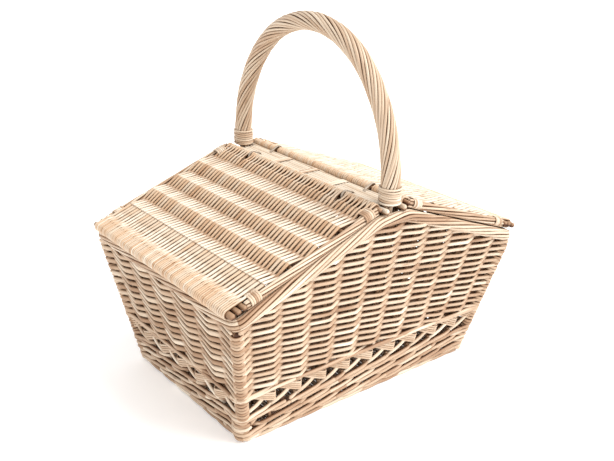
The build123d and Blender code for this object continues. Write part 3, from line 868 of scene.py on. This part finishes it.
def bind_handle(name, side):
    """Flat turns of skein round the foot of the handle."""
    low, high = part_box(f"{name}_handle_binding")
    turns = 7
    flat = 1.1 * MM
    count = 56
    angle = np.linspace(0, 2.04 * np.pi, count)
    pitch = (high.z - low.z) / turns
    bundle = Bundle(f"{name}_handle_binding_turns", sides=10, groove_shade=0.6)
    for turn in range(turns):
        start = rng.uniform(0, 6.28)
        away = turned(angle + start, ALONG_X, ALONG_Y)
        tilt = 0.9 * MM * np.sin(angle + start - 0.6) + wander(count, 0.1 * MM)
        tilt = np.clip(tilt, -0.35 * pitch, 0.35 * pitch) if 0 < turn < turns - 1 else 0 * tilt
        radius = HANDLE_RADIUS + flat * rng.uniform(0.2, 0.7)
        z = low.z + (turn + 0.5) * pitch + tilt
        line = stacked(0, side * LEG_Y, z) + radius * away
        bundle.strand(line, pitch * rng.uniform(0.46, 0.52), flat, away, tint=rng.uniform(0.25, 0.8))
    bundle.build(HANDLE_WILLOW, "basket", "handle_willow", f"{name}_handle_binding")


# ---- centre bar and hinge loops
bar_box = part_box("centre_bar")
BAR_RADIUS = (bar_box[1].z - bar_box[0].z) / 2
BAR_Z = (bar_box[1].z + bar_box[0].z) / 2
BAR_ROD_X = bar_box[1].x - BAR_RADIUS
HINGE_LOOP_RADIUS = 5.6 * MM


def stadium(half_length, radius, count):
    """Points round a flat oval, and the outward direction at each, starting at the bottom left."""
    bend = math.pi * radius
    stops = np.cumsum([0, 2 * half_length, bend, 2 * half_length, bend])
    run = np.linspace(0, stops[-1], count)
    centre = np.interp(run, stops, np.array([-1, 1, 1, -1, -1]) * half_length)
    angle = np.radians(np.interp(run, stops, [-90, -90, 90, 90, 270]))
    away = stacked(np.cos(angle), np.sin(angle))
    return np.column_stack([centre + radius * away[:, 0], radius * away[:, 1], away])


def make_centre_bar():
    """Rods side by side across the basket, and the lashings that hold them together."""
    bundle = Bundle("centre_bar_rods", sides=10, groove_shade=0.3)
    count = 60
    rods = 7
    slim = bar_box[1].x / rods
    for rod in range(rods):
        x = (2 * rod - rods + 1) * slim
        half = 122 * MM if abs(x) < HANDLE_RADIUS else bar_box[1].y
        y = np.linspace(-half, half, count)
        line = stacked(x + wander(count, 0.12 * MM, 6), y, BAR_Z + wander(count, 0.2 * MM))
        width = slim * (0.97 + wander(count, 0.03))
        bundle.strand(line, width, BAR_RADIUS, UP, tint=rng.uniform(0.8, 1.2))
    bundle.build(BORDER_WILLOW, "basket", "border_willow", "centre_bar")

    bundle = Bundle("centre_bar_lashing_turns")
    flat = 0.45 * MM
    turns = 4
    low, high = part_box("centre_bar_lashings")
    lashing_half = 4 * MM
    for y in (low.y + lashing_half, 0.0, high.y - lashing_half):
        for turn in range(turns):
            oval = stadium(BAR_ROD_X - 0.6 * MM, BAR_RADIUS + flat + 0.1 * MM, 60)
            shift = (turn - (turns - 1) / 2) * 2.2 * MM
            slant = np.linspace(-0.8, 0.8, len(oval)) * MM
            line = stacked(oval[:, 0], y + shift + slant, BAR_Z + oval[:, 1])
            bundle.strand(line, 1.15 * MM, flat, stacked(oval[:, 2], 0, oval[:, 3]))
    bundle.build(BORDER_WILLOW, "basket", "border_willow", "centre_bar_lashings")


def make_hinge_loop(name, side_x):
    """A snug loop of flat cane round the bar's outer rod and the lid's hinge rod."""
    low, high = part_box(f"{name}_hinge_loop")
    body = "left_lid" if side_x < 0 else "right_lid"
    hinge = next(joint["pos_m"] for joint in frame["joints"] if joint["child"] == body)
    across = abs(hinge[0]) - BAR_ROD_X
    rise = hinge[2] - BAR_Z
    tilt = side_x * math.atan2(rise, across)
    turn = np.array([[math.cos(tilt), math.sin(tilt)], [-math.sin(tilt), math.cos(tilt)]])
    oval = stadium(math.hypot(across, rise) / 2, HINGE_LOOP_RADIUS, 64)
    middle = (side_x * (abs(hinge[0]) + BAR_ROD_X) / 2, (hinge[2] + BAR_Z) / 2)
    x, z = (oval[:, :2] @ turn + middle).T
    out_x, out_z = (oval[:, 2:] @ turn).T
    slant = 1.6 * MM * oval[:, 0] / oval[:, 0].max()
    line = stacked(x, (low.y + high.y) / 2 + slant, z)
    bundle = Bundle(f"{name}_hinge_cane", sides=10)
    bundle.strand(line, (high.y - low.y) / 2, 0.75 * MM, stacked(out_x, 0, out_z))
    bundle.build(CANE, "basket", "cane", f"{name}_hinge_loop")


# ---- lids
class Lid:
    """A lid's own frame: u down the slope from its hinge axis, w along Y, h out of its top."""

    def __init__(self, side):
        self.name = "left" if side < 0 else "right"
        self.body = f"{self.name}_lid"
        joint = next(j for j in frame["joints"] if j["child"] == self.body)
        self.origin = np.array(joint["pos_m"], float)
        angle = math.atan(RIM_SLOPE)
        self.down = np.array([side * math.cos(angle), 0.0, -math.sin(angle)])
        self.top = np.array([side * math.sin(angle), 0.0, math.cos(angle)])
        end_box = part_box(f"{self.body}_end_rods")
        end_radius = 4.25 * MM
        reach = max(abs(end_box[0].x), abs(end_box[1].x)) - end_radius - abs(self.origin[0])
        self.length = reach / math.cos(angle)
        self.half_width = end_box[1].y

    def at(self, u, w, h):
        u, w, h = (np.asarray(value)[..., None] for value in (u, w, h))
        return self.origin + u * self.down + w * ALONG_Y + h * self.top


LID_PITCH = 3.05 * MM
LID_STRAND = 1.5 * MM
LID_SWING = 4.5 * MM
STICK_PLACES = [13 * MM, 46.5 * MM, 80 * MM, 113.5 * MM, 147 * MM]
END_ROD_RADII = (3.2 * MM, 2.8 * MM, 2.8 * MM)
HINGE_ROD = 2.15 * MM
LOOP_Y = sum(corner.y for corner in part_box("front_left_hinge_loop")) / 2


END_ROD_INSETS = (0.0, 7.9 * MM, 15 * MM)


def end_places(lid):
    """Distance from the hinge axis of each rod at the free edge, outermost first."""
    return [lid.length - inset for inset in END_ROD_INSETS]


def arc_points(centre, radius, start, stop, count):
    angles = np.radians(np.linspace(start, stop, count))
    return [(centre + radius * math.cos(a), radius * math.sin(a)) for a in angles]


def lid_profile(lid, first_over):
    """One strand from the side: round the hinge rod, over and under the sticks, round the end rods."""
    thick = LID_STRAND * 0.85
    turn = HINGE_ROD + thick
    points = [(15 * MM, -3.0 * MM), (8 * MM, -3.7 * MM)]
    points += arc_points(0.0, turn, -90, -270, 7)
    flat = 0.17 * (STICK_PLACES[1] - STICK_PLACES[0]) / 2
    for i, place in enumerate(STICK_PLACES):
        crest = LID_SWING * (0.62 if i == 0 else 1.0)
        side = crest if (i % 2 == 0) == first_over else -crest
        points += [(place - flat, side * 0.93), (place, side), (place + flat, side * 0.93)]
    outer, second, third = end_places(lid)
    crest = END_ROD_RADII[1] + thick + 0.4 * MM
    points += [(third + 1 * MM, crest * 0.95), (second, crest)]
    points += arc_points(outer, END_ROD_RADII[0] + thick, 90, -90, 8)
    points += [(second, -crest), (third, -crest * 0.95), (third - 9 * MM, -3.0 * MM)]
    return curve_through([(u, 0.0, h) for u, h in points], 5)


def spread_round_loops(w, u):
    """Strands part a little to let each hinge loop through."""
    room = 2.5 * MM
    reach = 13 * MM
    near = 1 - smoothstep((np.abs(u) - 8 * MM) / (12 * MM))
    for centre in (-abs(LOOP_Y), abs(LOOP_Y)):
        d = w - centre
        if abs(d) < reach:
            parted = math.copysign(room + abs(d) * (reach - room) / reach, d if d else 1)
            return w + (parted - d) * near
    return w + 0 * u


def weave_lid(lid):
    """Strands side by side down the slope, wider where they pass over or under a stick."""
    bundle = Bundle(f"{lid.body}_weave", groove_shade=0.35)
    half = lid.half_width - 5.6 * MM
    count = int(2 * half / LID_PITCH)
    profiles = [lid_profile(lid, True), lid_profile(lid, False)]
    for i in range(count):
        profile = profiles[i % 2]
        u, h = profile[:, 0], profile[:, 2]
        w = (i - (count - 1) / 2) * LID_PITCH
        side = spread_round_loops(w, u) + wander(len(u), 0.16 * MM, 12)
        lift = h + wander(len(u), 0.1 * MM, 12)
        line = lid.at(u, side, lift)
        tangent = unit(np.gradient(line, axis=0))
        facing = unit(np.cross(tangent, ALONG_Y)) * np.sign(lid.down[0])
        woven = smoothstep((u - 10 * MM) / (7 * MM)) * smoothstep((lid.length - 25 * MM - u) / (15 * MM))
        rolled = smoothstep((u - lid.length + 21 * MM) / (4 * MM))
        before_roll = smoothstep(1.3 - np.abs(u - lid.length + 20.5 * MM) / (7 * MM))
        by_hinge = smoothstep((20 * MM - u) / (10 * MM))
        crest = np.clip(h / LID_SWING, -1, 1)
        width = LID_STRAND * (0.97 + 0.72 * woven * np.abs(crest) ** 1.3 + 0.35 * before_roll)
        width = width * rng.uniform(0.94, 1.04)
        above = np.where(facing @ lid.top > 0, 1.0, -1.0) * crest
        swing = woven * above + (1 - woven)
        distinct_u = u + 1e-9 * np.arange(len(u))
        # Painted light and shade: each strand is made paler where it climbs as it runs down the lid, and
        # darker where it dips.
        painted_slope_light = woven * np.clip(np.gradient(h, distinct_u) / 0.2, -1, 1)
        tint = rng.normal(0.66, 0.12) + 0.3 * painted_slope_light + 0.4 * before_roll
        tint = tint + rng.normal(-0.14, 0.16) * rolled - 0.16 * by_hinge
        # More painted shade on the strands' sides at the rolled end and by the hinge.
        groove_shade_scale = 1 + 1.5 * rolled + 1.5 * by_hinge
        bundle.strand(line, width, LID_STRAND * 0.9, facing, tint=tint, swing=swing, groove_shade_scale=groove_shade_scale)
    bundle.build(LID_WILLOW, lid.body, "lid_willow", f"{lid.body}_panel")


def lid_cross_rod(bundle, lid, u, radius, half, count=40, tint=None):
    w = np.linspace(-half, half, count)
    line = lid.at(u + wander(count, 0.1 * MM), w, 0 * w)
    bundle.strand(line, radius * (1 + wander(count, 0.02)), None, lid.top, tint=tint)


def frame_lid(lid):
    """Sticks under the weave, rods at the free edge and the hinge, and rods along both sides."""
    sticks = Bundle(f"{lid.body}_stick_rods")
    for place in STICK_PLACES[1:]:
        lid_cross_rod(sticks, lid, place, 2.1 * MM, lid.half_width - 4 * MM)
    sticks.build(CORE_WILLOW, lid.body, "core_willow", f"{lid.body}_cross_sticks")

    ends = Bundle(f"{lid.body}_end_rod_bundle", sides=14)
    for place, radius in zip(end_places(lid), END_ROD_RADII):
        lid_cross_rod(ends, lid, place, radius, lid.half_width, tint=0.25)
    ends.build(CORE_WILLOW, lid.body, "lid_willow", f"{lid.body}_end_rods")

    hinge = Bundle(f"{lid.body}_hinge_rod_stick", sides=14)
    lid_cross_rod(hinge, lid, 0.0, HINGE_ROD, lid.half_width, tint=0.4)
    hinge.build(CORE_WILLOW, lid.body, "lid_willow", f"{lid.body}_hinge_rod")

    edges = Bundle(f"{lid.body}_edge_plait", groove_shade=0.8)
    count = 90
    u = np.linspace(3 * MM, end_places(lid)[-1] - 3 * MM, count)
    for side in (-1, 1):
        for rod in range(6):
            angle = 2 * np.pi * (rod / 6 + u / (260 * MM))
            w = side * (lid.half_width - 2.9 * MM + 1.3 * MM * np.cos(angle))
            line = lid.at(u, w, 3.5 * MM * np.sin(angle) - 0.6 * MM)
            facing = unit(turned(angle, side * ALONG_Y, lid.top))
            stout = 1.47 * MM * (1 + wander(count, 0.04))
            edges.strand(line, stout, None, facing, tint=rng.uniform(0.1, 0.8) + wander(count, 0.1, 16))
    edges.build(BORDER_WILLOW, lid.body, "lid_willow", f"{lid.body}_edge_rods")


def tie_lid(lid):
    """Flat turns that bind the side rods to the weave, near each corner."""
    ties = Bundle(f"{lid.body}_tie_turns")
    places = (14 * MM, 162 * MM)
    turns = 5
    flat = 0.55 * MM
    half_height = 4.9 * MM
    half_across = 7.0 * MM
    for place in places:
        for side in (-1, 1):
            centre = side * (lid.half_width - half_across + 0.8 * MM)
            for turn in range(turns):
                oval = stadium(half_across - half_height, half_height, 40)
                u = place + (turn - (turns - 1) / 2) * 2.5 * MM + np.linspace(-0.7, 0.7, len(oval)) * MM
                line = lid.at(u, centre + oval[:, 0], oval[:, 1])
                away = oval[:, 2:3] * ALONG_Y + oval[:, 3:4] * lid.top
                ties.strand(line, 1.3 * MM, flat, away)
    ties.build(BORDER_WILLOW, lid.body, "lid_willow", f"{lid.body}_ties")


# ---- making the basket
for wall in WALLS.values():
    weave_siding(wall)
    set_stakes(wall)
    cross_rods(wall)
    lay_ribbon(wall)
weave_wales()
lay_borders()
lay_foot()
for corner, side_x, side_y in (
    ("front_left", -1, -1),
    ("front_right", 1, -1),
    ("back_left", -1, 1),
    ("back_right", 1, 1),
):
    wrap_corner(corner, side_x, side_y)
    make_hinge_loop(corner, side_x)
set_corner_stakes()
weave_base()
make_handle()
make_handle_legs()
bind_handle("front", -1)
bind_handle("back", 1)
make_centre_bar()
for lid in (Lid(-1), Lid(1)):
    weave_lid(lid)
    frame_lid(lid)
    tie_lid(lid)


# ---- floor, light and camera
WHITE = (1.0, 1.0, 1.0, 1.0)


def make_floor():
    """A pale floor that glows a little."""
    half = 4.0
    corners = [(-half, -half, 0), (half, -half, 0), (half, half, 0), (-half, half, 0)]
    mesh = bpy.data.meshes.new("floor")
    mesh.from_pydata(corners, [], [(0, 1, 2, 3)])
    material = bpy.data.materials.new("pale_floor")
    material.use_nodes = True
    inputs = material.node_tree.nodes["Principled BSDF"].inputs
    inputs["Base Color"].default_value = (0.95, 0.95, 0.95, 1.0)
    inputs["Roughness"].default_value = 0.7
    inputs["Emission Color"].default_value = WHITE
    inputs["Emission Strength"].default_value = 0.22
    mesh.materials.append(material)
    add_object("floor", mesh)


def add_sun(name, energy, angle, colour, toward):
    """A wide, soft sun shining from the given direction."""
    sun = bpy.data.lights.new(name, "SUN")
    sun.energy = energy
    sun.angle = math.radians(angle)
    sun.color = colour
    add_object(name, sun).rotation_euler = Vector(toward).to_track_quat("Z", "Y").to_euler()


def light_studio():
    """White surroundings, a key sun from the front right and a weak warm one from the left."""
    world = bpy.data.worlds.new("studio")
    world.use_nodes = True
    background = world.node_tree.nodes["Background"].inputs
    background["Color"].default_value = WHITE
    background["Strength"].default_value = 0.95
    bpy.context.scene.world = world
    bpy.context.scene.view_settings.view_transform = "Standard"
    add_sun("key_sun", 4.2, 50, (1.0, 0.975, 0.945), (0.62, -0.62, 0.95))
    add_sun("left_fill", 0.8, 60, (1.0, 0.91, 0.82), (-0.85, -0.5, 0.22))


def place_camera():
    """The camera's orbit round a point near the basket's middle."""
    azimuth = math.radians(-39.08)
    elevation = math.radians(22.04)
    roll = math.radians(1.62)
    distance = 1.0184
    target = Vector((0.0195, 0.0249, 0.1533))
    back = Vector((
        math.sin(azimuth) * math.cos(elevation),
        -math.cos(azimuth) * math.cos(elevation),
        math.sin(elevation),
    ))
    right = Vector((math.cos(azimuth), math.sin(azimuth), 0.0))
    up = back.cross(right)
    rolled_right = right * math.cos(roll) + up * math.sin(roll)
    rolled_up = up * math.cos(roll) - right * math.sin(roll)
    data = bpy.data.cameras.new("camera")
    data.sensor_width = 36.0
    data.lens = 49.17
    camera = add_object("camera", data)
    turn = Matrix((rolled_right, rolled_up, back)).transposed().to_4x4()
    camera.matrix_world = Matrix.Translation(target + back * distance) @ turn
    bpy.context.scene.camera = camera


make_floor()
light_studio()
place_camera()
